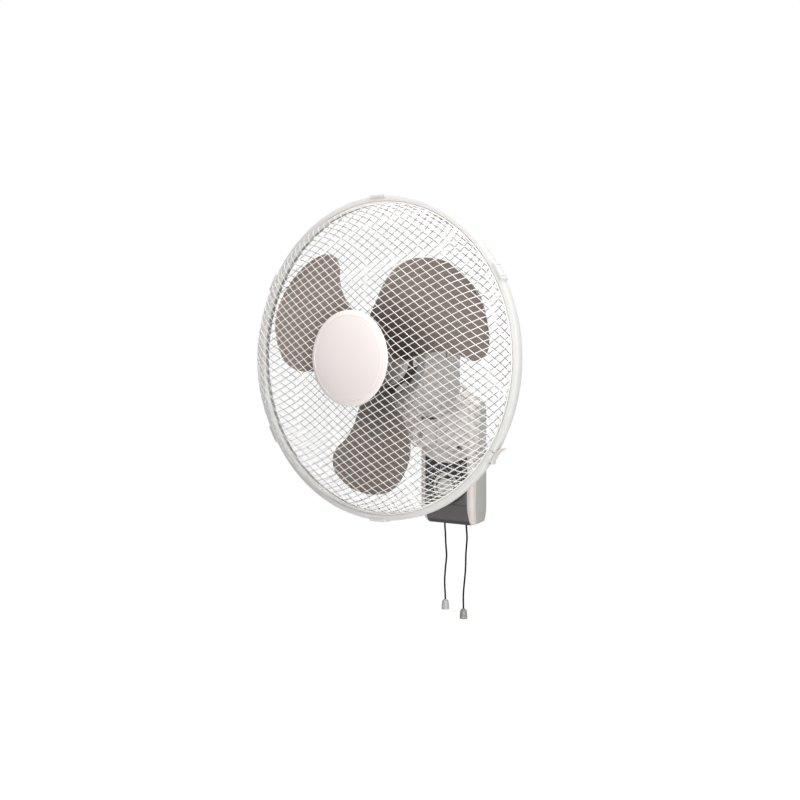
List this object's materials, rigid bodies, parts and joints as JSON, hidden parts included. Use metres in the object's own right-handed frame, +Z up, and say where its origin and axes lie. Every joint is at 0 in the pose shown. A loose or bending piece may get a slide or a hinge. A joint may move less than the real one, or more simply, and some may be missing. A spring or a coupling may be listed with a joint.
{
  "type": "wall mounted fan",
  "caption": "Wall mounted oscillating fan with mesh guards, tilting and swinging head, dial and pull cords",
  "frame": {"origin": "Middle of the wall plate's back face, on the wall", "axes": "+Y points into the wall and the fan blows towards -Y; +X is to the right seen from the front; +Z is up"},
  "size_m": [0.436, 0.2745, 0.601],
  "materials": {
    "badge_white": "semi gloss moulding",
    "base_dark": "fine textured moulding",
    "base_grey": "fine textured moulding",
    "base_light": "fine textured moulding",
    "bell_clear": "smooth, faintly milky",
    "black_plastic": "plain moulding",
    "blade": "semi gloss moulding",
    "blade_dark": "semi gloss moulding",
    "bracket_metal": "cast",
    "bronze": "sintered",
    "copper": "enamelled wire",
    "cord": "twisted",
    "gland_rubber": "soft",
    "guard_white": "coated wire",
    "housing": "semi gloss moulding",
    "laminated_steel": "stacked sheets",
    "panel_black": "smooth, slightly glossy",
    "ring_white": "semi gloss moulding",
    "steel": "plated",
    "trim_light": "smooth",
    "white_plastic": "plain moulding"
  },
  "bodies": {
    "base": {"capacitor": "white_plastic", "control_panel": "panel_black", "cover_screw_left": "steel", "cover_screw_right": "steel", "dial_bezel": "trim_light", "front_cover": "base_light", "lower_cover": "base_dark", "mains_gland": "gland_rubber", "rear_shell": "base_grey", "speed_bush": "black_plastic", "speed_switch": "black_plastic", "speed_switch_bracket": "steel", "swing_bush": "black_plastic", "swing_switch": "black_plastic", "swing_switch_bracket": "steel", "terminal_block": "white_plastic", "tilt_bolt": "steel", "tilt_bracket": "base_light", "tilt_nut": "steel", "wall_plate": "white_plastic"},
    "link": {"swing_link": "steel"},
    "crank": {"swing_crank": "white_plastic"},
    "neck": {"neck": "base_light", "swing_lever": "steel", "pan_screw": "steel"},
    "rotor": {"rotor_shaft": "steel", "rotor_core": "laminated_steel", "blade_set": "blade", "spinner": "blade_dark"},
    "dial": {"dial": "trim_light", "dial_spindle": "white_plastic"},
    "speed_pull": {"speed_cord_inner": "cord", "speed_cord": "cord", "speed_bell": "trim_light"},
    "swing_pull": {"swing_cord_inner": "cord", "swing_cord": "cord", "swing_bell": "bell_clear"},
    "ring_clip": {"ring_clip": "trim_light"},
    "head": {"housing_front": "housing", "housing_rear": "housing", "pan_bush": "white_plastic", "stator_core": "laminated_steel", "winding_front": "copper", "winding_rear": "copper", "motor_bracket_front": "bracket_metal", "motor_bracket_rear": "bracket_metal", "front_bearing": "bronze", "rear_bearing": "bronze", "swing_motor": "steel", "front_guard": "guard_white", "rear_guard": "guard_white", "hub_badge": "badge_white", "guard_nut": "white_plastic", "guard_ring": "ring_white", "clip_pin": "steel"}
  },
  "joints": [
    {"name": "tilt", "type": "hinge", "parent": "base", "child": "neck", "pos_m": [0, -0.134, 0.045], "axis": [1, 0, 0], "range_deg": [-5, 25]},
    {"name": "swing", "type": "hinge", "parent": "neck", "child": "head", "pos_m": [0, -0.134, 0.08], "axis": [0, 0, 1], "range_deg": [-40, 40]},
    {"name": "link", "type": "hinge", "parent": "neck", "child": "link", "pos_m": [0.011, -0.134, 0.0924], "axis": [0, 0, 1], "range_deg": [-40, 40]},
    {"name": "crank", "type": "hinge", "parent": "head", "child": "crank", "pos_m": [0.004, -0.091, 0.0968], "axis": [0, 0, 1], "continuous": true},
    {"name": "rotor", "type": "hinge", "parent": "head", "child": "rotor", "pos_m": [0, -0.2, 0.15], "axis": [0, 1, 0], "continuous": true},
    {"name": "dial", "type": "hinge", "parent": "base", "child": "dial", "pos_m": [0, -0.04, -0.037], "axis": [0, 1, 0], "continuous": true},
    {"name": "speed_pull", "type": "slide", "parent": "base", "child": "speed_pull", "axis": [0, 0, -1], "range_m": [0, 0.012], "stiffness_N_per_m": 600, "springref_m": -0.003},
    {"name": "swing_pull", "type": "slide", "parent": "base", "child": "swing_pull", "axis": [0, 0, -1], "range_m": [0, 0.012], "stiffness_N_per_m": 600, "springref_m": -0.003},
    {"name": "ring_clip", "type": "hinge", "parent": "head", "child": "ring_clip", "pos_m": [0.17725, -0.2, 0.01829], "axis": [0, 1, 0], "range_deg": [0, 60]}
  ],
  "couplings": [
    {"joint": "link", "follows": "swing", "ratio": 1}
  ]
}
